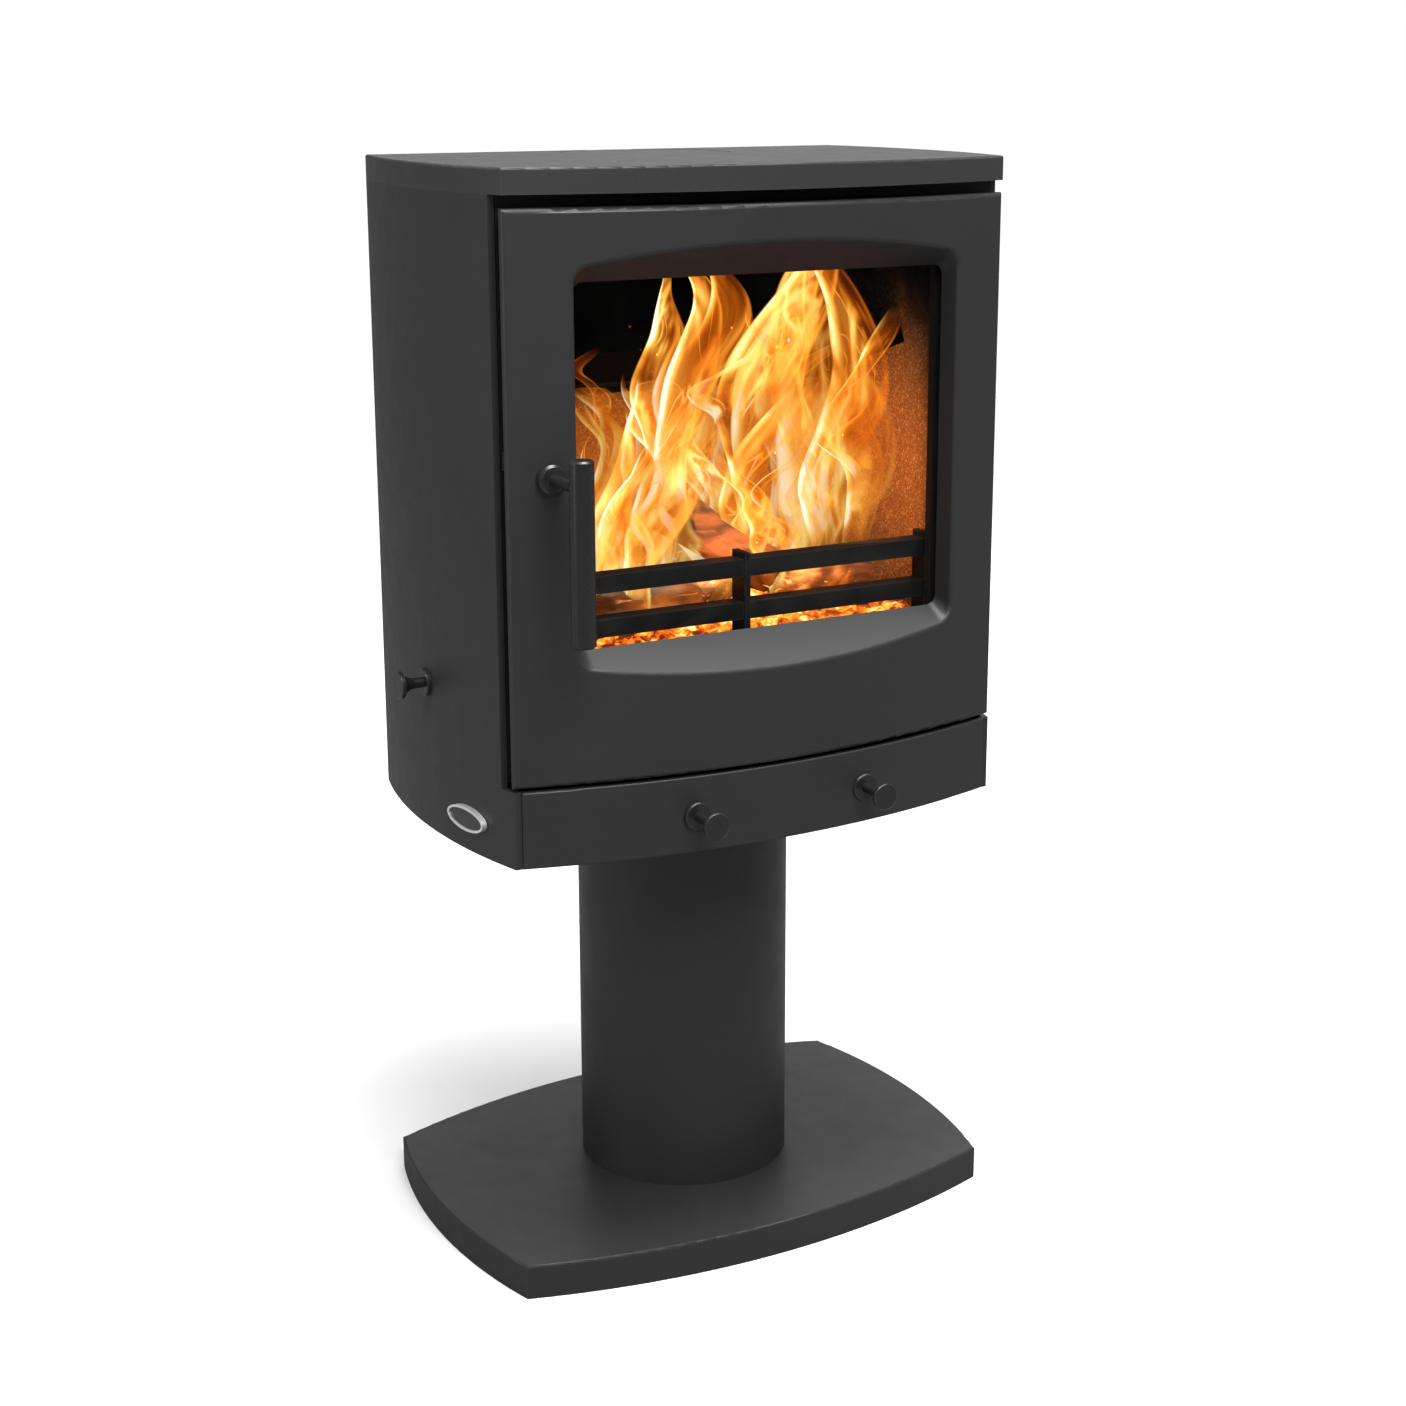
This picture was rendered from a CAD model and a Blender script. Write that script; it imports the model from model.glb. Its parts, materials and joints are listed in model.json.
import json
import math
import random

import bpy
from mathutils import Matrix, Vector, noise


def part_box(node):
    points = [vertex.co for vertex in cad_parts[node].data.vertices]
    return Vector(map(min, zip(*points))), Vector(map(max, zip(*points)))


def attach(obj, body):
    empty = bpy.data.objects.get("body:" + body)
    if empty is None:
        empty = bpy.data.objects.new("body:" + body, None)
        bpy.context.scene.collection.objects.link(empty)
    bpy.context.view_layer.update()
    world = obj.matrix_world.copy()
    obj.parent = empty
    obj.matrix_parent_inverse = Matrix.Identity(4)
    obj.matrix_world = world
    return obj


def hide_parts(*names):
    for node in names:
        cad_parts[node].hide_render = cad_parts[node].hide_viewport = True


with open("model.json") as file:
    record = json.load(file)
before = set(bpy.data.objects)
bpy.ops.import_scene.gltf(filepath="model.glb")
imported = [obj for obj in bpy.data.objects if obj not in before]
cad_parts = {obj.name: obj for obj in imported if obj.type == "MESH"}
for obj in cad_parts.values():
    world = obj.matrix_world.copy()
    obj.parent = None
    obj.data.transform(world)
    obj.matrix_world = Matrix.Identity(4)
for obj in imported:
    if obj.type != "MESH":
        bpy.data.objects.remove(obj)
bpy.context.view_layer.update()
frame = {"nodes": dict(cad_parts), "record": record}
nodes = frame["nodes"]
body_name = "stove_body"
MM = 0.001

# ---------------------------------------------------------------- shader building

# The mix node has sockets of the same name for each kind of data, so its colour sockets go by number.
MIX_COLOUR_INPUTS = (0, 6, 7)
MIX_COLOUR_OUTPUT = 2


class Shader:
    """A material with one Principled shader and short names for the nodes used most."""

    def __init__(self, name):
        self.material = bpy.data.materials.new(name)
        self.material.use_nodes = True
        self.tree = self.material.node_tree
        self.surface = self.tree.nodes["Principled BSDF"]
        self.place = self.new("ShaderNodeTexCoord").outputs["Object"]

    def new(self, kind, **settings):
        node = self.tree.nodes.new(kind)
        for key, setting in settings.items():
            setattr(node, key, setting)
        return node

    def join(self, output, target):
        self.tree.links.new(output, target)

    def feed(self, target, source):
        """Puts a number, a colour or another node's output on a socket."""
        if hasattr(source, "is_output"):
            self.join(source, target)
        else:
            target.default_value = source

    def set(self, **inputs):
        for key, source in inputs.items():
            self.feed(self.surface.inputs[key.replace("_", " ")], source)

    def scaled(self, stretch):
        mapping = self.new("ShaderNodeMapping")
        self.join(self.place, mapping.inputs["Vector"])
        mapping.inputs["Scale"].default_value = stretch
        return mapping.outputs["Vector"]

    def noise(self, scale, detail=2.0, distortion=0.0, stretch=None):
        node = self.new("ShaderNodeTexNoise")
        self.join(self.scaled(stretch) if stretch else self.place, node.inputs["Vector"])
        node.inputs["Scale"].default_value = scale
        node.inputs["Detail"].default_value = detail
        node.inputs["Distortion"].default_value = distortion
        return node.outputs["Fac"]

    def cells(self, scale):
        """Flat random colours in cells, as flakes have."""
        node = self.new("ShaderNodeTexVoronoi")
        self.join(self.place, node.inputs["Vector"])
        node.inputs["Scale"].default_value = scale
        return node.outputs["Color"]

    def math(self, operation, first, second=0.0, clamp=False):
        node = self.new("ShaderNodeMath", operation=operation, use_clamp=clamp)
        self.feed(node.inputs[0], first)
        self.feed(node.inputs[1], second)
        return node.outputs[0]

    def times(self, first, second, clamp=False):
        return self.math("MULTIPLY", first, second, clamp)

    def plus(self, first, second, clamp=False):
        return self.math("ADD", first, second, clamp)

    def off_from(self, source, level):
        """How far source is from level, either way."""
        return self.math("ABSOLUTE", self.math("SUBTRACT", source, level))

    def ease(self, source, low, high, start=0.0, end=1.0):
        """Smoothly carries source from low..high to start..end."""
        node = self.new("ShaderNodeMapRange", interpolation_type="SMOOTHSTEP")
        self.feed(node.inputs["Value"], source)
        for key, number in (("From Min", low), ("From Max", high), ("To Min", start), ("To Max", end)):
            node.inputs[key].default_value = number
        return node.outputs["Result"]

    def mix(self, factor, first, second):
        node = self.new("ShaderNodeMix", data_type="RGBA")
        for socket, source in zip(MIX_COLOUR_INPUTS, (factor, first, second)):
            self.feed(node.inputs[socket], source)
        return node.outputs[MIX_COLOUR_OUTPUT]

    def ramp(self, source, stops):
        node = self.new("ShaderNodeValToRGB")
        band = node.color_ramp
        while len(band.elements) < len(stops):
            band.elements.new(0.5)
        for element, (position, colour) in zip(band.elements, stops):
            element.position = position
            element.color = colour
        self.feed(node.inputs["Fac"], source)
        return node.outputs["Color"]

    def axis(self, letter):
        node = self.new("ShaderNodeSeparateXYZ")
        self.join(self.place, node.inputs[0])
        return node.outputs[letter]

    def bump(self, height, distance, strength=1.0, under=None):
        node = self.new("ShaderNodeBump")
        node.inputs["Strength"].default_value = strength
        node.inputs["Distance"].default_value = distance
        self.join(height, node.inputs["Height"])
        if under is not None:
            self.join(under, node.inputs["Normal"])
        return node.outputs["Normal"]

    def edge_wear(self, radius, threshold):
        """1 on sharp edges and 0 on flat faces, from how far the rounded normal leans from the true one."""
        rounded = self.new("ShaderNodeBevel", samples=4)
        rounded.inputs["Radius"].default_value = radius
        dot = self.new("ShaderNodeVectorMath", operation="DOT_PRODUCT")
        self.join(rounded.outputs["Normal"], dot.inputs[0])
        self.join(self.new("ShaderNodeNewGeometry").outputs["Normal"], dot.inputs[1])
        lean = self.math("SUBTRACT", 1.0, dot.outputs["Value"], clamp=True)
        return self.ease(lean, threshold * 0.2, threshold)


def grey(level, warmth=0.0):
    """A grey, a little redder with warmth."""
    return (level * (1 + warmth), level, level * (1 - warmth), 1.0)


# ---------------------------------------------------------------- materials of the stove

def seam_ring(shader, cover):
    """1 in the narrow seam round a disc-shaped cover and 0 elsewhere."""
    low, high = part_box(cover)
    middle = (low + high) / 2
    radius = (high.x - low.x) / 2
    edge, core, darkness = 1.6 * MM, 0.5 * MM, 0.9
    east = shader.math("POWER", shader.math("SUBTRACT", shader.axis("X"), middle.x), 2.0)
    north = shader.math("POWER", shader.math("SUBTRACT", shader.axis("Y"), middle.y), 2.0)
    away = shader.math("SQRT", shader.plus(east, north))
    return shader.ease(shader.off_from(away, radius), edge, core, 0.0, darkness)


def stove_paint(name, level, roughness, grain=1.0, worn=2.6, cover=None):
    """Matt heat-resisting paint over steel: a fine eggshell grain, faint mottling and rubbed edges.

    A cover names a disc whose seam is dark with soot.
    """
    shader = Shader(name)
    mottle = shader.noise(3.5, 4.0, 0.4)
    drift = shader.noise(42.0, 3.0)
    speck = shader.noise(1300.0, 2.0)
    colour = shader.mix(shader.ease(mottle, 0.3, 0.7), grey(level * 0.93), grey(level * 1.07))
    colour = shader.mix(shader.ease(speck, 0.5, 0.7, 0.0, 0.25), colour, grey(level * 1.8))
    wear = shader.edge_wear(0.0015, 0.12)
    rubbed = shader.times(wear, shader.ease(drift, 0.3, 0.75, 0.18, 0.36))
    colour = shader.mix(rubbed, colour, grey(level * worn))
    if cover:
        colour = shader.mix(seam_ring(shader, cover), colour, grey(0.001))
    blend = shader.plus(shader.times(drift, 0.4), shader.times(speck, 0.6))
    rough = shader.ease(blend, 0.3, 0.7, roughness - 0.05, roughness + 0.07)
    wide = shader.bump(drift, 0.00008 * grain, 0.2)
    eggshell = shader.bump(shader.noise(850.0, 3.0), 0.00011 * grain, 0.5, wide)
    shader.set(Base_Color=colour, Roughness=rough, Normal=eggshell, Specular_IOR_Level=0.42)
    return shader.material


def cast_iron():
    """Dull black casting with a sandy skin and rubbed edges."""
    shader = Shader("sooty_cast_iron")
    sand = shader.noise(700.0, 5.0)
    patches = shader.noise(26.0, 4.0, 1.0)
    colour = shader.mix(shader.ease(patches, 0.35, 0.7), grey(0.006), grey(0.014, 0.03))
    wear = shader.edge_wear(0.0012, 0.12)
    colour = shader.mix(shader.times(wear, 0.5), colour, grey(0.06))
    shader.set(Base_Color=colour, Roughness=shader.ease(patches, 0.3, 0.7, 0.5, 0.68),
               Normal=shader.bump(sand, 0.0003, 0.5), Specular_IOR_Level=0.16)
    return shader.material


def vermiculite(name, soot_low, soot_high, sheen=0.2):
    """Pressed mica board: brown flakes, with soot that thickens between two heights, higher at the back."""
    shader = Shader(name)
    flake = shader.cells(620.0)
    split = shader.new("ShaderNodeSeparateColor")
    shader.join(flake, split.inputs[0])
    tone = split.outputs[0]
    colour = shader.ramp(tone, [
        (0.0, (0.17, 0.075, 0.028, 1)), (0.5, (0.27, 0.125, 0.046, 1)), (0.85, (0.36, 0.18, 0.07, 1)),
        (1.0, (0.55, 0.34, 0.16, 1)),
    ])
    cloud = shader.noise(14.0, 4.0, 0.8)
    colour = shader.mix(shader.ease(cloud, 0.35, 0.75, 0.0, 0.5), colour, (0.15, 0.07, 0.03, 1))
    height = shader.plus(shader.axis("Z"), shader.times(cloud, 0.07))
    height = shader.plus(height, shader.times(shader.axis("Y"), -0.25))
    soot = shader.ease(height, soot_low, soot_high, 0.0, 1.0)
    colour = shader.mix(soot, colour, (0.0014, 0.0012, 0.001, 1))
    grain = shader.bump(shader.plus(tone, shader.noise(90.0, 4.0)), 0.0004, 0.5)
    shader.set(Base_Color=colour, Roughness=0.92, Normal=grain, Specular_IOR_Level=sheen)
    return shader.material


def stove_glass():
    """Clear heat-resisting glass with a faint, uneven film of smoke."""
    shader = Shader("stove_glass")
    film = shader.noise(9.0, 4.0, 1.2)
    smear = shader.noise(60.0, 3.0, 0.5, (1, 1, 0.3))
    alpha = shader.ease(shader.plus(film, shader.times(smear, 0.3)), 0.45, 1.1, 0.015, 0.09)
    shader.set(Base_Color=(0.02, 0.018, 0.016, 1), Roughness=shader.ease(smear, 0.3, 0.8, 0.02, 0.07),
               Alpha=alpha, Specular_IOR_Level=0.5)
    return shader.material


def rope_fibre():
    """Charcoal glass-fibre yarn."""
    shader = Shader("woven_rope")
    yarn = shader.noise(1800.0, 3.0, 0.3, (1, 1, 0.4))
    patches = shader.noise(70.0, 3.0)
    colour = shader.mix(shader.ease(yarn, 0.35, 0.7), grey(0.035), grey(0.13, 0.02))
    colour = shader.mix(shader.ease(patches, 0.5, 0.8, 0.0, 0.5), colour, (0.10, 0.075, 0.055, 1))
    shader.set(Base_Color=colour, Roughness=0.95, Normal=shader.bump(yarn, 0.0004, 0.8),
               Sheen_Weight=0.3)
    return shader.material


def steel():
    """Plain zinc-dulled steel, heat-tinted in patches."""
    shader = Shader("dull_steel")
    brushed = shader.noise(420.0, 3.0, 0.0, (1, 1, 0.08))
    patches = shader.noise(30.0, 3.0, 1.0)
    colour = shader.mix(shader.ease(patches, 0.35, 0.7), grey(0.2), (0.13, 0.115, 0.10, 1))
    shader.set(Base_Color=colour, Metallic=0.85, Roughness=shader.ease(brushed, 0.3, 0.7, 0.38, 0.56),
               Normal=shader.bump(brushed, 0.0001, 0.4))
    return shader.material


def bright_metal():
    """Polished rim with hairline polishing marks."""
    shader = Shader("polished_rim")
    marks = shader.noise(900.0, 2.0, 0.0, (1, 0.1, 1))
    shader.set(Base_Color=shader.mix(shader.ease(marks, 0.3, 0.7), grey(0.86), grey(0.97)), Metallic=0.7,
               Roughness=shader.ease(marks, 0.3, 0.7, 0.28, 0.4), Normal=shader.bump(marks, 0.00005, 0.3))
    return shader.material


def enamel():
    """Dark glossy enamel with a slightly orange-peel skin."""
    shader = Shader("dark_enamel")
    peel = shader.noise(500.0, 2.0)
    colour = shader.mix(shader.ease(shader.noise(120.0, 2.0), 0.4, 0.7), grey(0.005), grey(0.011))
    shader.set(Base_Color=colour, Roughness=shader.ease(peel, 0.3, 0.7, 0.16, 0.26),
               Normal=shader.bump(peel, 0.00006, 0.3), Coat_Weight=0.4)
    return shader.material


# ---------------------------------------------------------------- materials of the fire

FLAME_STOPS = [
    (0.0, (0.42, 0.05, 0.001, 1)), (0.25, (0.80, 0.17, 0.006, 1)), (0.5, (1.0, 0.38, 0.04, 1)),
    (0.76, (1.0, 0.67, 0.17, 1)), (1.0, (1.0, 0.95, 0.66, 1)),
]


def flame(name, body, bright, power):
    """Burning gas: a clear orange veil with crisp bright sides and soft folds, fading to its tip.

    The mesh gives two maps: UVMap runs across and along a sheet, and Flow carries the pattern up it.
    """
    shader = Shader(name)
    sheet = shader.new("ShaderNodeSeparateXYZ")
    shader.join(shader.new("ShaderNodeUVMap", uv_map="UVMap").outputs["UV"], sheet.inputs[0])
    across, along = sheet.outputs["X"], sheet.outputs["Y"]
    shader.place = shader.new("ShaderNodeUVMap", uv_map="Flow").outputs["UV"]
    broad = shader.noise(0.95, 2.0, 0.9)
    wisp = shader.noise(0.75, 3.0, 1.5)
    curl = shader.noise(1.7, 2.0, 1.2)
    folds = shader.ease(shader.off_from(wisp, 0.5), 0.11, 0.0)
    creases = shader.ease(shader.off_from(curl, 0.47), 0.035, 0.0)
    crisp = shader.times(shader.ease(across, 0.0, 0.03), shader.ease(across, 0.26, 0.03))
    far = shader.times(shader.ease(across, 1.0, 0.95), shader.ease(across, 0.78, 0.95, 0.0, 0.55))
    rim = shader.times(shader.math("MAXIMUM", crisp, far), shader.ease(broad, 0.3, 0.6, 0.2, 1.0))
    strands = shader.math("MAXIMUM", shader.times(folds, 0.55), shader.times(creases, 0.34))
    strands = shader.times(strands, shader.ease(broad, 0.32, 0.62, 0.1, 1.0))
    strands = shader.math("MAXIMUM", strands, rim)
    root = shader.ease(along, 0.55, 0.1, 0.0, 0.32)
    glow = shader.times(shader.ease(broad, 0.3, 0.68), shader.ease(across, 1.0, 0.1, 0.3, 1.0))
    heat = shader.plus(shader.times(strands, 0.6), shader.times(glow, 0.42))
    heat = shader.plus(shader.plus(heat, 0.08), root, clamp=True)
    ends = shader.times(shader.ease(along, 0.0, 0.24), shader.ease(along, 1.0, 0.82))
    sides = shader.times(shader.ease(across, 0.0, 0.05), shader.ease(across, 1.0, 0.88))
    shape = shader.times(sides, ends)
    veil = shader.plus(shader.times(glow, body * 0.8), body * 0.2)
    cover = shader.plus(veil, shader.times(strands, bright), clamp=True)
    cover = shader.times(cover, shape, clamp=True)
    heat = shader.times(heat, shader.ease(cover, 0.0, 0.45, 0.62, 1.0))
    shader.set(Base_Color=(0, 0, 0, 1), Roughness=1.0, Specular_IOR_Level=0.0,
               Emission_Color=shader.ramp(heat, FLAME_STOPS), Emission_Strength=power, Alpha=cover)
    return shader.material


def faded_edges(shader, margin):
    """0 at the rim of a sheet and 1 inside it."""
    sheet = shader.new("ShaderNodeSeparateXYZ")
    shader.join(shader.new("ShaderNodeUVMap", uv_map="UVMap").outputs["UV"], sheet.inputs[0])
    fade = 1.0
    for letter in ("X", "Y"):
        fade = shader.times(fade, shader.ease(sheet.outputs[letter], 0.0, margin))
        fade = shader.times(fade, shader.ease(sheet.outputs[letter], 1.0, 1.0 - margin))
    return fade


def firelit_haze():
    """The soft orange glow of flames out of focus at the back."""
    shader = Shader("flame_haze")
    billow = shader.noise(6.0, 3.0, 1.4, (1.2, 1.2, 0.6))
    rise = shader.ease(shader.axis("Z"), 0.86, 0.66)
    side = shader.ease(shader.axis("X"), -0.19, -0.02, 0.3, 1.0)
    body = shader.times(shader.times(rise, side), shader.ease(billow, 0.3, 0.62))
    cover = shader.times(shader.times(body, faded_edges(shader, 0.14)), 0.8, clamp=True)
    shader.set(Base_Color=(0, 0, 0, 1), Roughness=1.0, Specular_IOR_Level=0.0,
               Emission_Color=shader.ramp(shader.times(body, 0.62), FLAME_STOPS),
               Emission_Strength=0.85, Alpha=cover)
    return shader.material


def dark_smoke():
    """Thick smoke drawn towards the flue."""
    shader = Shader("flue_smoke")
    billow = shader.noise(16.0, 3.0, 1.2)
    colour = shader.mix(shader.ease(billow, 0.35, 0.7), (0.002, 0.0015, 0.001, 1), (0.010, 0.006, 0.004, 1))
    cover = shader.times(faded_edges(shader, 0.16), shader.ease(billow, 0.1, 0.3, 0.97, 1.0))
    shader.set(Base_Color=colour, Roughness=1.0, Specular_IOR_Level=0.0, Alpha=cover,
               Normal=shader.bump(billow, 0.002, 0.5))
    return shader.material


def burning_wood(name, pale):
    """Bark charred in patches with orange glow in its splits; pale is how much sound wood shows."""
    shader = Shader(name)
    grain = shader.noise(60.0, 5.0, 0.8, (0.25, 1, 1))
    fibre = shader.noise(150.0, 4.0, 0.5, (0.12, 1, 1))
    patches = shader.noise(16.0, 4.0, 0.8)
    wood = shader.mix(shader.ease(grain, 0.35, 0.65), (0.30, 0.13, 0.045, 1), (0.74, 0.50, 0.26, 1))
    char = shader.mix(shader.ease(grain, 0.35, 0.7), (0.010, 0.006, 0.005, 1), (0.16, 0.06, 0.028, 1))
    colour = shader.mix(shader.ease(patches, 0.66 - pale * 0.3, 0.76 - pale * 0.3), char, wood)
    split = shader.ease(fibre, 0.40, 0.30)
    crack = shader.times(split, shader.ease(patches, 0.42, 0.6))
    low = shader.ease(shader.axis("Z"), 0.72, 0.60, 0.2, 1.0)
    glow = shader.plus(crack, shader.ease(patches, 0.5, 0.72, 0.05, 0.34))
    glow = shader.times(glow, low)
    height = shader.plus(fibre, shader.times(grain, 0.8))
    shader.set(Base_Color=colour, Roughness=0.9, Normal=shader.bump(height, 0.003, 0.8),
               Emission_Color=shader.ramp(glow, [(0.0, (0, 0, 0, 1)), (0.2, (0.28, 0.05, 0.0, 1)),
                                                 (0.6, (0.9, 0.26, 0.02, 1)), (1.0, (1.0, 0.6, 0.2, 1))]),
               Emission_Strength=1.2)
    return shader.material


def embers(name, power):
    """Glowing charcoal under a broken skin of grey ash."""
    shader = Shader(name)
    lumps = shader.noise(120.0, 4.0, 0.5)
    patches = shader.noise(38.0, 4.0, 0.8)
    dust = shader.noise(300.0, 3.0)
    ash = shader.mix(shader.ease(dust, 0.4, 0.7), (0.10, 0.05, 0.03, 1), (0.40, 0.26, 0.16, 1))
    colour = shader.mix(shader.ease(patches, 0.45, 0.7), (0.03, 0.012, 0.008, 1), ash)
    glow = shader.plus(shader.ease(lumps, 0.62, 0.34, 0.0, 0.55),
                       shader.ease(patches, 0.58, 0.40, -0.12, 0.5))
    shader.set(Base_Color=colour, Roughness=0.95, Normal=shader.bump(lumps, 0.004, 0.7),
               Emission_Color=shader.ramp(glow, [(0.0, (0.10, 0.01, 0.0, 1)), (0.35, (0.55, 0.09, 0.005, 1)),
                                                 (0.75, (1.0, 0.34, 0.03, 1)), (1.0, (1.0, 0.7, 0.26, 1))]),
               Emission_Strength=power)
    return shader.material


# ---------------------------------------------------------------- mesh building

def add_mesh(name, points, faces, material, maps=None, smooth=True):
    """A mesh object; maps holds named lists with each point's place for the shader."""
    mesh = bpy.data.meshes.new(name)
    mesh.from_pydata(points, [], faces)
    mesh.materials.append(material)
    for title, spots in (maps or {}).items():
        layer = mesh.uv_layers.new(name=title)
        for loop in mesh.loops:
            layer.data[loop.index].uv = spots[loop.vertex_index]
    mesh.polygons.foreach_set("use_smooth", [smooth] * len(mesh.polygons))
    mesh.update()
    piece = bpy.data.objects.new(name, mesh)
    bpy.context.scene.collection.objects.link(piece)
    return piece


def grid_faces(rows, columns, start=0, closed=False):
    """Quads joining rows of points; closed joins each row's end to its beginning."""
    faces = []
    for row in range(rows - 1):
        for column in range(columns if closed else columns - 1):
            after = (column + 1) % columns
            low, high = start + row * columns, start + (row + 1) * columns
            faces.append((low + column, low + after, high + after, high + column))
    return faces


# ---------------------------------------------------------------- rope seal on the door's back

def rope_loop(low, high, corner, steps):
    """Points and outward directions round a rounded rectangle in the XZ plane, evenly spaced."""
    wide, tall = high[0] - low[0], high[1] - low[1]
    sides = [wide - 2 * corner, tall - 2 * corner] * 2
    arc = math.pi * corner / 2
    starts = [(low[0] + corner, low[1]), (high[0], low[1] + corner), (high[0] - corner, high[1]),
              (low[0], high[1] - corner)]
    total = sum(sides) + 4 * arc
    for step in range(steps):
        distance = total * step / steps
        side = 0
        while distance > sides[side] + arc:
            distance -= sides[side] + arc
            side += 1
        heading = side * math.pi / 2
        forward = Vector((math.cos(heading), math.sin(heading)))
        outward = Vector((forward.y, -forward.x))
        start = Vector(starts[side])
        if distance <= sides[side]:
            yield start + forward * distance, outward
        else:
            turn = (distance - sides[side]) / corner
            centre = start + forward * sides[side] - outward * corner
            facing = outward * math.cos(turn) + forward * math.sin(turn)
            yield centre + facing * corner, facing


def make_rope():
    """The plaited rope round the door's back, on the path of the plain CAD seal."""
    low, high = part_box("door_rope_seal")
    half_width = 4.75 * MM
    half_depth = (high.y - low.y) / 2
    middle = (high.y + low.y) / 2
    corner = 10 * MM
    around, steps, plaits, strands = 20, 1500, 190, 4
    fullness, relief = 0.91, 0.08
    points = []
    inner_low = (low.x + half_width, low.z + half_width)
    inner_high = (high.x - half_width, high.z - half_width)
    for step, (spot, outward) in enumerate(rope_loop(inner_low, inner_high, corner, steps)):
        lay = 2 * math.pi * plaits * step / steps
        for number in range(around):
            angle = 2 * math.pi * number / around
            weave = math.sin(strands * angle + lay) * math.sin(strands * angle - lay)
            size = fullness + relief * weave
            reach = half_width * size * math.cos(angle)
            rise = half_depth * size * math.sin(angle)
            points.append((spot.x + outward.x * reach, middle + rise, spot.y + outward.y * reach))
    faces = grid_faces(steps, around, closed=True)
    last = (steps - 1) * around
    faces += [(last + n, last + (n + 1) % around, (n + 1) % around, n) for n in range(around)]
    rope = add_mesh("rope_seal", points, faces, materials["rope"])
    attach(rope, "door")
    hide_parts("door_rope_seal")


# ---------------------------------------------------------------- logs, embers and flames

def log_caps(points, first_rings, around, forward, radius, shift):
    """Closes both ends of a log with rough sawn faces: adds their points and returns their faces."""
    faces = []
    roughness = radius * 0.07
    for first, sign in zip(first_rings, (-1, 1)):
        rim = points[first:first + around]
        centre = sum(rim, Vector()) / around
        last = first
        for share in (0.75, 0.45, 0.15):
            begin = len(points)
            for point in rim:
                spot = centre.lerp(point, share)
                points.append(spot + forward * sign * roughness * noise.noise(spot * 60 + shift))
            for n in range(around):
                quad = (last + n, last + (n + 1) % around, begin + (n + 1) % around, begin + n)
                faces.append(quad if sign < 0 else quad[::-1])
            last = begin
        cap = tuple(range(last, last + around))
        faces.append(cap if sign > 0 else cap[::-1])
    return faces


def make_log(name, start, end, radius, seed, material):
    """A short split log: ridged bark on the round side, a flat torn face, and rough sawn ends."""
    start, end = Vector(start), Vector(end)
    forward = (end - start).normalized()
    side = forward.cross(Vector((0, 0, 1))).normalized()
    top = side.cross(forward)
    around, rings = 56, 44
    bend, swell, ridge_height = 0.12, 0.16, 0.09
    split_depth, split_angle = 0.45, 0.9 + seed
    taper_start, taper = 0.9, 0.10
    shift = Vector((seed * 7.3, seed * 3.1, seed * 1.7))
    points = []
    for ring in range(rings):
        t = ring / (rings - 1)
        centre = start.lerp(end, t) + side * (radius * bend * math.sin(3 * t + seed))
        near_end = max(0.0, abs(2 * t - 1) - taper_start) / (1 - taper_start)
        for number in range(around):
            angle = 2 * math.pi * number / around
            facing = side * math.cos(angle) + top * math.sin(angle)
            rough = noise.noise(facing * 2.4 + forward * (t * 2.0) + shift)
            ridges = noise.noise(facing * 9.0 + forward * (t * 3.5) + shift)
            size = radius * (1 + swell * rough + ridge_height * ridges)
            split = math.cos(angle - split_angle)
            if split > split_depth:
                size = min(size, radius * split_depth / split * (1 + 0.05 * ridges))
            size *= 1 - taper * near_end
            points.append(centre + facing * size)
    faces = grid_faces(rings, around, closed=True)
    faces += log_caps(points, (0, (rings - 1) * around), around, forward, radius, shift)
    log = add_mesh(name, points, [face[::-1] for face in faces], material)
    log.visible_diffuse = False
    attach(log, body_name)


def make_logs():
    """Five logs on the grate: each has the middles of its ends and its radius in mm, and a seed."""
    wood = burning_wood("burning_bark", 0.25)
    split = burning_wood("burning_split_wood", 1.0)
    layout = [
        ("log_back", (-165, 55, 622), (150, 62, 634), 33, 1, wood),
        ("log_left", (-190, -70, 612), (-28, -66, 620), 25, 2, split),
        ("log_middle", (-66, -40, 716), (52, -76, 634), 22, 3, wood),
        ("log_right", (172, -58, 606), (18, 20, 634), 26, 4, wood),
        ("log_split", (-26, -74, 612), (96, -6, 652), 19, 5, split),
    ]
    for name, start, end, radius, seed, material in layout:
        make_log(name, [c * MM for c in start], [c * MM for c in end], radius * MM, seed, material)


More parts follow.
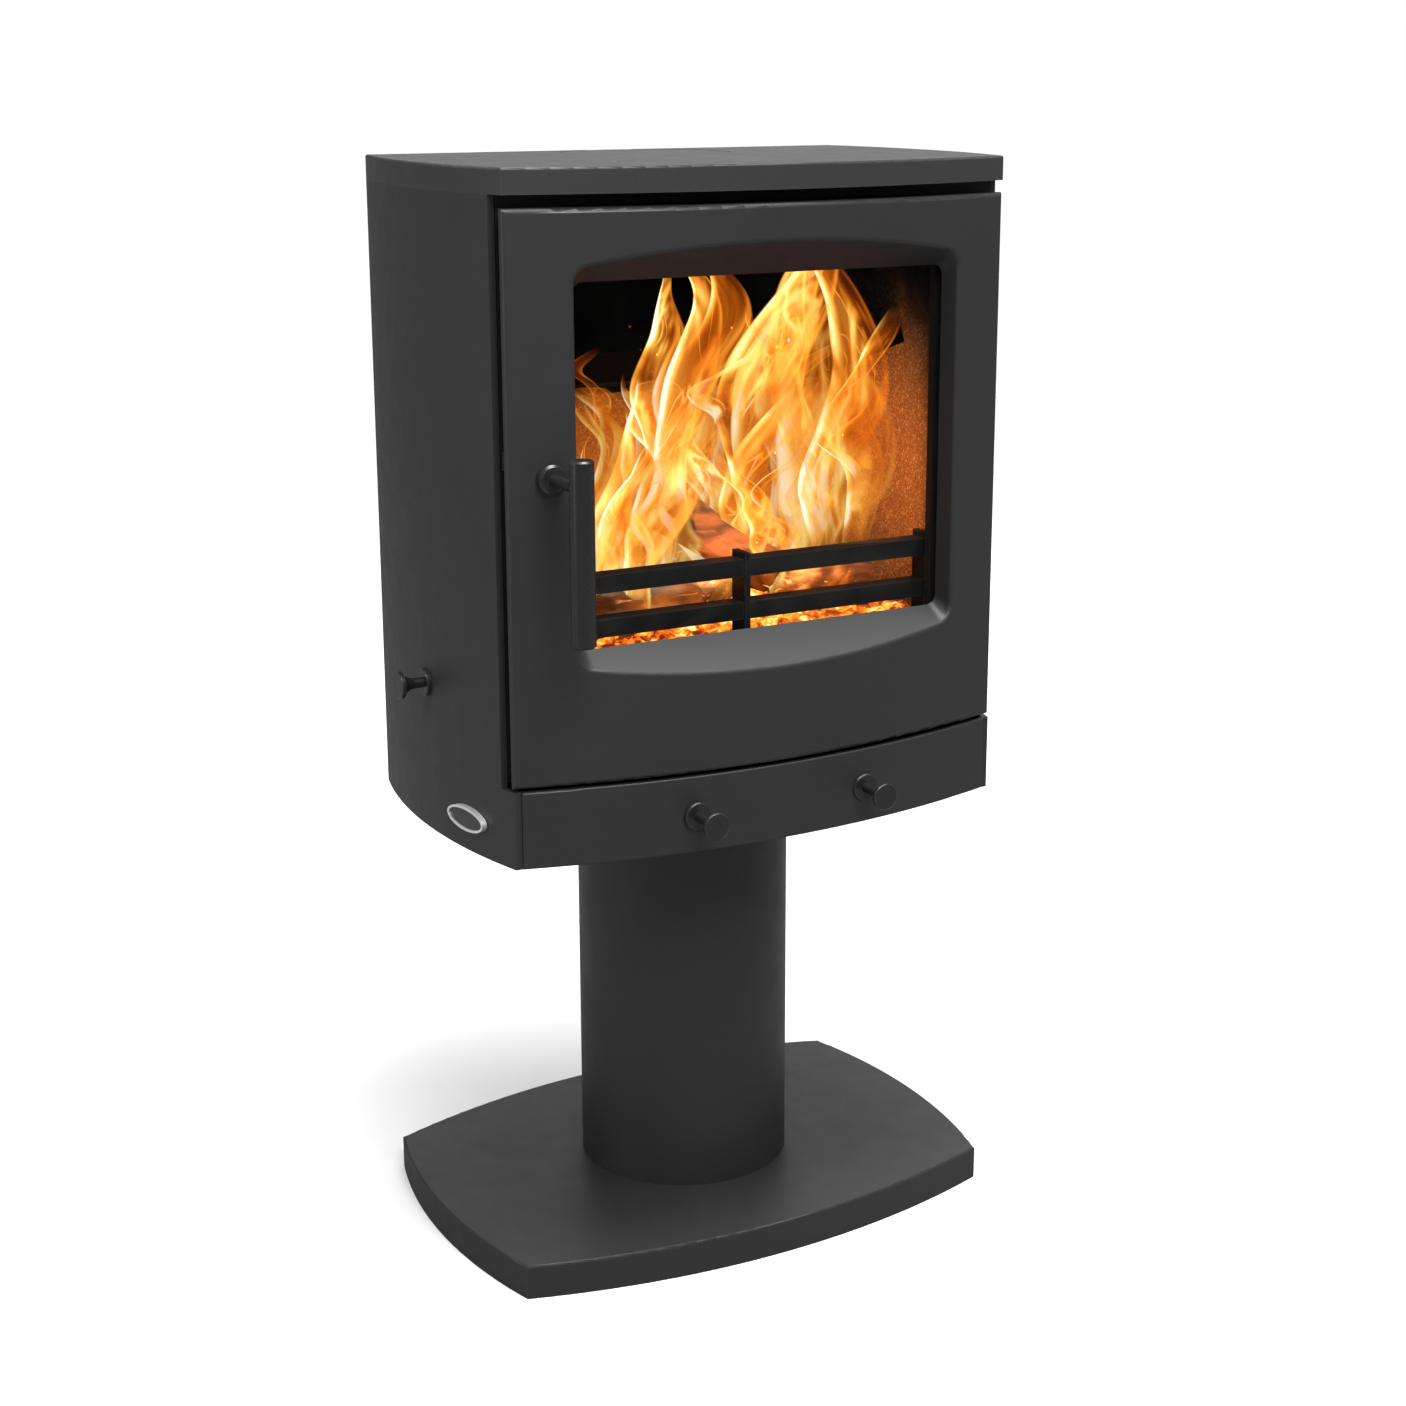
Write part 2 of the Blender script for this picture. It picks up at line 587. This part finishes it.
def make_ember_bed(material):
    """A lumpy heap of charcoal that covers the grate between the bricks."""
    left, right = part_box("left_brick")[1].x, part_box("right_brick")[0].x
    front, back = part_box("front_brick")[1].y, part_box("back_brick")[0].y
    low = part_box("grate")[1].z + 0.6 * MM
    columns, rows = 130, 64
    side_gap, end_gap = 0.004, 0.01
    heap_height, lump_height = 21 * MM, 7 * MM
    crest, fall = 0.45, 0.7
    points = []
    for row in range(rows):
        for column in range(columns):
            x = left + (right - left) * (side_gap + (1 - 2 * side_gap) * column / (columns - 1))
            y = front + (back - front) * (end_gap + (1 - 2 * end_gap) * row / (rows - 1))
            lumps = noise.noise(Vector((x, y, 0)) * 75) + 0.5 * noise.noise(Vector((x, y, 3)) * 190)
            heap = heap_height * math.cos(math.pi * (row / (rows - 1) - crest) * fall)
            points.append((x, y, low + max(0.0, heap + lump_height * lumps)))
    top = len(points)
    points += [(x, y, low) for x, y, z in points]
    faces = grid_faces(rows, columns)
    faces += [tuple(top + index for index in reversed(face)) for face in grid_faces(rows, columns)]
    edge = [(r * columns, (r + 1) * columns) for r in range(rows - 1)]
    edge += [((r + 1) * columns - 1 + columns, (r + 1) * columns - 1) for r in range(rows - 1)]
    edge += [(c + 1, c) for c in range(columns - 1)]
    edge += [((rows - 1) * columns + c, (rows - 1) * columns + c + 1) for c in range(columns - 1)]
    faces += [(a, b, top + b, top + a) for a, b in edge]
    bed = add_mesh("ember_bed", points, faces, material)
    unlit(bed)
    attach(bed, body_name)


def make_ember_lumps(material):
    """Loose lumps of charcoal on the bed: uneven, flattened balls."""
    chance = random.Random(11)
    count, around, rings = 70, 10, 7
    unevenness, flatness = 0.45, 0.7
    points, faces = [], []
    for _ in range(count):
        x, y, z = chance.uniform(-175, 175), chance.uniform(-82, 60), chance.uniform(593, 600)
        centre = Vector((x, y, z)) * MM
        size = chance.uniform(6, 12) * MM
        begin = len(points)
        for ring in range(rings):
            tilt = math.pi * (ring + 0.5) / rings
            for number in range(around):
                angle = 2 * math.pi * number / around
                east, north = math.sin(tilt) * math.cos(angle), math.sin(tilt) * math.sin(angle)
                facing = Vector((east, north, math.cos(tilt)))
                block = size * (1 + unevenness * noise.noise(facing * 1.7 + centre * 500))
                points.append(centre + Vector((facing.x, facing.y, facing.z * flatness)) * block)
        faces += [face[::-1] for face in grid_faces(rings, around, begin, closed=True)]
        faces.append(tuple(range(begin, begin + around)))
        faces.append(tuple(reversed(range(begin + (rings - 1) * around, begin + rings * around))))
    lumps = add_mesh("ember_lumps", points, faces, material)
    unlit(lumps)
    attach(lumps, body_name)


def flame_ceiling(y):
    """Highest z that a flame may reach at depth y: under the sloping baffle, or past its front edge."""
    low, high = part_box("baffle_plate")
    thickness, gap_below, gap_before = 15 * MM, 7 * MM, 3 * MM
    if y < low.y - gap_before:
        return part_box("left_brick")[1].z + 8 * MM
    share = (y - low.y) / (high.y - low.y)
    return high.z - (thickness + gap_below) - share * (high.z - low.z - thickness)


def unlit(piece):
    """Keeps a glowing piece from lighting or shading others, which the fire_glow lamp does instead."""
    piece.visible_diffuse = False
    piece.visible_glossy = False
    piece.visible_shadow = False


class Flames:
    """A layer of flame sheets gathered into one mesh; the sizes that it is given are in mm."""

    ROWS, COLUMNS = 44, 11
    SIDE_LIMIT = 203 * MM
    FLOW_ACROSS, FLOW_UP = 22, 9

    def __init__(self, name, seed, drift, limits):
        """Sheets lean towards a depth within drift, and stay within limits."""
        self.name = name
        self.chance = random.Random(seed)
        self.drift = [depth * MM for depth in drift]
        self.nearest, self.deepest = [depth * MM for depth in limits]
        self.points, self.faces, self.sheet, self.flow = [], [], [], []

    def held_in(self, spot, u):
        """Keeps a point of a sheet inside the firebox."""
        spot.x = min(max(spot.x, -self.SIDE_LIMIT), self.SIDE_LIMIT)
        spot.y = min(max(spot.y, self.nearest), self.deepest)
        spot.z = min(spot.z, flame_ceiling(spot.y) - 2 * MM * u * u)
        return spot

    def tongue(self, root, tall, wide, sway, lean):
        """One curling sheet of flame, pinched and swelling as it rises, drawn out to a point."""
        begin = len(self.points)
        chance = self.chance
        pace, phase = chance.uniform(0.6, 1.35), chance.uniform(0, 6.3)
        facing, twist = chance.uniform(-0.9, 0.3), chance.uniform(-1.1, 1.1)
        drift = chance.uniform(*self.drift)
        cup, seed = chance.uniform(-0.6, 0.6), chance.uniform(0, 90)
        wander = 26 * MM
        length = 0.0
        for row in range(self.ROWS):
            t = row / (self.ROWS - 1)
            ripple = noise.noise(Vector((seed, t * 3.4, 0)))
            swing = math.sin(2 * math.pi * pace * t + phase) - math.sin(phase) * (1 - t)
            x = root.x + lean * t + sway * swing * t ** 0.6 + wander * ripple * t
            y = root.y + (drift - root.y) * t ** 1.3
            z = root.z + tall * (t + 0.04 * math.sin(5 * t + phase))
            half = wide * 1.35 * (t + 0.05) ** 0.35 * (1 - t) ** 0.5
            half *= 0.78 + 0.34 * math.sin(7.5 * t + phase) * t + 0.25 * noise.noise(Vector((seed, t * 5, 9)))
            angle = facing + twist * t
            across = Vector((math.cos(angle), math.sin(angle) * 0.6, 0.45 * math.sin(3 * t + phase)))
            bow = Vector((-across.y, across.x, 0))
            length += tall / self.ROWS
            for column in range(self.COLUMNS):
                u = 2 * column / (self.COLUMNS - 1) - 1
                spot = Vector((x, y, z)) + across * (half * u) + bow * (cup * half * (1 - u * u) * 0.5)
                self.points.append(self.held_in(spot, u))
                self.sheet.append(((u + 1) / 2, t))
                self.flow.append((seed + u * half * self.FLOW_ACROSS, seed * 0.7 + length * self.FLOW_UP))
        self.faces += grid_faces(self.ROWS, self.COLUMNS, begin)

    def place(self, depth, layout):
        """Tongues chosen by hand, each by x, foot, height, half width, sway and lean."""
        for x, foot, *shape in layout:
            root = Vector((x * MM, self.chance.uniform(*depth) * MM, foot * MM))
            self.tongue(root, *[size * MM for size in shape])

    def scatter(self, count, side, depth, foot, tall, wide, sway, lean, low_part=(-1000, 1.0)):
        """Tongues spread from left to right, each size drawn from its range.

        Those left of the first number in low_part have that share of their height.
        """
        def draw(span):
            return self.chance.uniform(*span) * MM

        left, right = side
        edge, share = low_part
        for number in range(count):
            x = (left + (right - left) * (number + self.chance.random()) / count) * MM
            root = Vector((x, draw(depth), draw(foot)))
            height = draw(tall) * (share if x < edge * MM else 1.0)
            self.tongue(root, height, draw(wide), draw(sway), draw(lean))

    def finish(self, material):
        maps = {"UVMap": self.sheet, "Flow": self.flow}
        piece = add_mesh(self.name, self.points, self.faces, material, maps)
        unlit(piece)
        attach(piece, body_name)


def make_flames():
    """Five layers of flame, from the back brick to the glass."""
    back = Flames("flames_back", 21, drift=(20, 84), limits=(12, 92))
    back.scatter(11, side=(-150, 180), depth=(30, 75), foot=(600, 640), tall=(160, 205), wide=(34, 56),
                 sway=(10, 26), lean=(-30, 40), low_part=(-70, 0.7))
    back.finish(flame("deep_flame", 0.42, 0.3, 0.8))

    middle = Flames("flames_middle", 8, drift=(-50, 0), limits=(-56, 16))
    middle.scatter(10, side=(-165, 165), depth=(-30, 5), foot=(600, 640), tall=(150, 225), wide=(26, 48),
                   sway=(14, 34), lean=(-30, 50), low_part=(-90, 0.75))
    middle.finish(flame("rolling_flame", 0.42, 0.5, 0.95))

    front = Flames("flames_front", 12, drift=(-88, -66), limits=(-96, -62))
    front.place((-86, -72), [
        (-168, 600, 190, 26, 14, 40), (-150, 598, 235, 36, 30, 66), (-122, 600, 215, 42, 34, 70),
        (-96, 606, 190, 34, 26, 40), (-72, 750, 175, 26, 22, -10), (-44, 700, 245, 30, 38, -24),
        (2, 690, 250, 38, 46, -36), (-4, 612, 150, 34, 30, 22), (44, 660, 290, 48, 42, 20),
        (78, 730, 220, 38, 32, 20), (112, 650, 300, 46, 34, 24), (142, 640, 250, 36, 26, 8),
        (58, 612, 120, 40, 18, -26), (20, 640, 175, 34, 34, 44),
    ])
    front.finish(flame("licking_flame", 0.4, 0.9, 1.85))

    veils = Flames("flame_veils", 29, drift=(-84, -70), limits=(-95, -62))
    veils.place((-82, -72), [
        (-128, 604, 185, 62, 16, 46), (-60, 620, 190, 56, 18, 30), (-26, 660, 225, 58, 24, 10),
        (52, 650, 240, 76, 22, 16), (108, 650, 235, 80, 18, 6), (86, 620, 160, 72, 18, 8),
    ])
    veils.finish(flame("broad_flame", 0.5, 0.6, 1.1))

    wisps = Flames("flame_wisps", 23, drift=(-90, -64), limits=(-97, -61))
    wisps.scatter(10, side=(-150, 150), depth=(-88, -68), foot=(650, 800), tall=(70, 130), wide=(8, 18),
                  sway=(18, 40), lean=(-70, 80))
    wisps.finish(flame("thin_flame", 0.3, 0.7, 1.7))


def make_sheet(name, left, right, low, high, depth, ripple, material):
    """An upright rippling sheet facing the door."""
    columns, rows = 40, 30
    points, spots = [], []
    for row in range(rows):
        for column in range(columns):
            u, v = column / (columns - 1), row / (rows - 1)
            y = depth - ripple * (0.5 + 0.5 * noise.noise(Vector((u * 3, v * 3, 2))))
            points.append((left + (right - left) * u, y, low + (high - low) * v))
            spots.append((u, v))
    sheet = add_mesh(name, points, grid_faces(rows, columns), material, {"UVMap": spots})
    unlit(sheet)
    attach(sheet, body_name)


def make_glow_and_smoke():
    """The glow on the back brick, and the smoke that closes the flue's opening to the eye."""
    make_sheet("flame_glow", -198 * MM, 198 * MM, 596 * MM, 788 * MM, 92 * MM, 10 * MM, firelit_haze())
    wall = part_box("back_firebox_wall")[0].y
    flue_low, flue_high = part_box("flue_collar")
    middle = (flue_low.z + flue_high.z) / 2
    make_sheet("flue_smoke", -150 * MM, 150 * MM, middle - 82 * MM, middle + 92 * MM, wall - 2 * MM, 7 * MM,
               dark_smoke())


def make_sparks():
    """Tiny glowing flecks carried up with the flames: each is a long eight-sided diamond."""
    chance = random.Random(3)
    count, stretch = 22, 2.4
    forward = Vector((0, 1, 0))
    points, faces = [], []
    for _ in range(count):
        x, y, z = chance.uniform(-180, 160), chance.uniform(-96, -60), chance.uniform(660, 880)
        centre = Vector((x, y, z)) * MM
        size = chance.uniform(0.3, 0.7) * MM
        slant = Vector((chance.uniform(-1, 1), 0, chance.uniform(1, 3))).normalized()
        side = slant.cross(forward).normalized()
        begin = len(points)
        ends = [slant * stretch, side, forward, -side, -forward, -slant * stretch]
        points += [centre + end * size for end in ends]
        for n in range(4):
            after = (n + 1) % 4
            faces.append((begin, begin + 1 + n, begin + 1 + after))
            faces.append((begin + 5, begin + 1 + after, begin + 1 + n))
    sparks = add_mesh("sparks", points, faces, embers("hot_sparks", 9.0))
    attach(sparks, body_name)


# ---------------------------------------------------------------- dressing the CAD pieces

materials = {
    "stove_paint": stove_paint("charcoal_stove_paint", 0.021, 0.48),
    "cast_iron": cast_iron(),
    "vermiculite": vermiculite("vermiculite_board", 0.86, 0.97),
    "stove_glass": stove_glass(),
    "rope": rope_fibre(),
    "steel": steel(),
    "bright_metal": bright_metal(),
    "blank_enamel": enamel(),
}
FITTINGS = ("handle_bar", "handle_rose", "handle_spindle", "primary_air_knob", "airwash_knob",
            "riddling_knob", "primary_air_rose", "airwash_rose", "riddling_rose")
INNER = ("front_frame", "air_box_plate", "left_firebox_wall", "right_firebox_wall", "back_firebox_wall",
         "firebox_floor", "latch_keeper", "frame_hinge_leaves", "door_hinge_leaves", "body_bottom_plate")
finishes = {
    **dict.fromkeys(FITTINGS, stove_paint("satin_black_fittings", 0.013, 0.29, 0.5, 9.0)),
    **dict.fromkeys(INNER, stove_paint("dark_inner_paint", 0.008, 0.62)),
    **dict.fromkeys(("baffle_plate", "baffle_rails"), vermiculite("sooty_board", 0.5, 0.6, 0.02)),
    **dict.fromkeys(("top_plate", "outlet_blanking_plate"),
                    stove_paint("charcoal_top_paint", 0.030, 0.46, cover="outlet_blanking_plate")),
}

for sub_part in frame["record"]["subparts"]:
    name = sub_part["node"]
    mesh = nodes[name].data
    mesh.materials.clear()
    mesh.materials.append(finishes.get(name, materials[sub_part["material_slot"]]))

make_rope()
make_logs()
glowing_embers = embers("glowing_embers", 2.0)
make_ember_bed(glowing_embers)
make_ember_lumps(glowing_embers)
make_flames()
make_glow_and_smoke()
make_sparks()

# ---------------------------------------------------------------- studio

def add_softbox(name, place, target, energy, size, colour=(1, 1, 1)):
    data = bpy.data.lights.new(name, "AREA")
    data.energy = energy
    data.color = colour
    data.shape = "RECTANGLE"
    data.size, data.size_y = size
    light = bpy.data.objects.new(name, data)
    light.location = place
    light.rotation_euler = (Vector(target) - Vector(place)).to_track_quat("-Z", "Y").to_euler()
    light.visible_camera = False
    bpy.context.scene.collection.objects.link(light)


def make_floor():
    """A white floor to the eye, that throws little light back up."""
    paint = Shader("pale_floor")
    seen_tone = paint.mix(paint.noise(0.8, 2.0), grey(0.99), grey(1.0))
    seen = paint.new("ShaderNodeLightPath").outputs["Is Camera Ray"]
    tone = paint.mix(seen, grey(0.26), seen_tone)
    paint.set(Base_Color=tone, Roughness=0.95, Specular_IOR_Level=0.05)
    reach = 60
    corners = [(-reach, -reach, 0), (reach, -reach, 0), (reach, reach, 0), (-reach, reach, 0)]
    floor = add_mesh("studio_floor", corners, [(0, 1, 2, 3)], paint.material, smooth=False)


def make_backdrop():
    """A world that is white to the eye and gives a low, even light."""
    world = bpy.data.worlds.new("studio")
    world.use_nodes = True
    tree = world.node_tree
    backdrop = tree.nodes["Background"]
    backdrop.inputs["Color"].default_value = (1, 1, 1, 1)
    seen = tree.nodes.new("ShaderNodeLightPath")
    strength = tree.nodes.new("ShaderNodeMapRange")
    strength.inputs["To Min"].default_value = 0.22
    strength.inputs["To Max"].default_value = 1.0
    tree.links.new(seen.outputs["Is Camera Ray"], strength.inputs["Value"])
    tree.links.new(strength.outputs["Result"], backdrop.inputs["Strength"])
    bpy.context.scene.world = world


def make_lights():
    sun = bpy.data.lights.new("soft_overhead", "SUN")
    sun.energy = 2.75
    sun.angle = math.radians(50)
    overhead = bpy.data.objects.new("soft_overhead", sun)
    overhead.rotation_euler = (math.radians(12), math.radians(10), 0)
    bpy.context.scene.collection.objects.link(overhead)
    add_softbox("front_softbox", (-0.5, -2.3, 2.9), (0, 0, 0.85), 56, (1.4, 1.0))
    add_softbox("left_softbox", (-2.4, 0.1, 1.5), (0, 0, 0.7), 21, (0.5, 2.2))
    add_softbox("back_softbox", (1.9, 3.0, 1.2), (0, 0, 1.0), 15, (3.4, 0.6))
    add_softbox("top_softbox", (0.2, -0.5, 2.8), (0, 0, 1.2), 46, (1.0, 0.6))
    add_softbox("fire_glow", (0.07, -0.092, 0.72), (0.11, 0.1, 0.70), 0.72, (0.20, 0.16), (1.0, 0.42, 0.12))


# Where the camera stands and how it is turned, in metres, radians and millimetres of lens.
CAMERA_PLACE = Vector((-1.0325, -1.9301, 1.1050))
CAMERA_YAW = 0.5106
CAMERA_PITCH = 0.2469
CAMERA_LENS = 59.85
CAMERA_SHIFT = (-0.0185, -0.0400)


def make_camera():
    data = bpy.data.cameras.new("photo_angle")
    data.lens = CAMERA_LENS
    data.sensor_width = 36
    data.shift_x, data.shift_y = CAMERA_SHIFT
    data.clip_end = 200
    camera = bpy.data.objects.new("photo_angle", data)
    camera.location = CAMERA_PLACE
    level = math.cos(CAMERA_PITCH)
    heading = Vector((math.sin(CAMERA_YAW) * level, math.cos(CAMERA_YAW) * level, -math.sin(CAMERA_PITCH)))
    camera.rotation_euler = heading.to_track_quat("-Z", "Y").to_euler()
    bpy.context.scene.collection.objects.link(camera)
    bpy.context.scene.camera = camera


make_floor()
make_backdrop()
make_lights()
make_camera()
bpy.context.scene.view_settings.view_transform = "Standard"
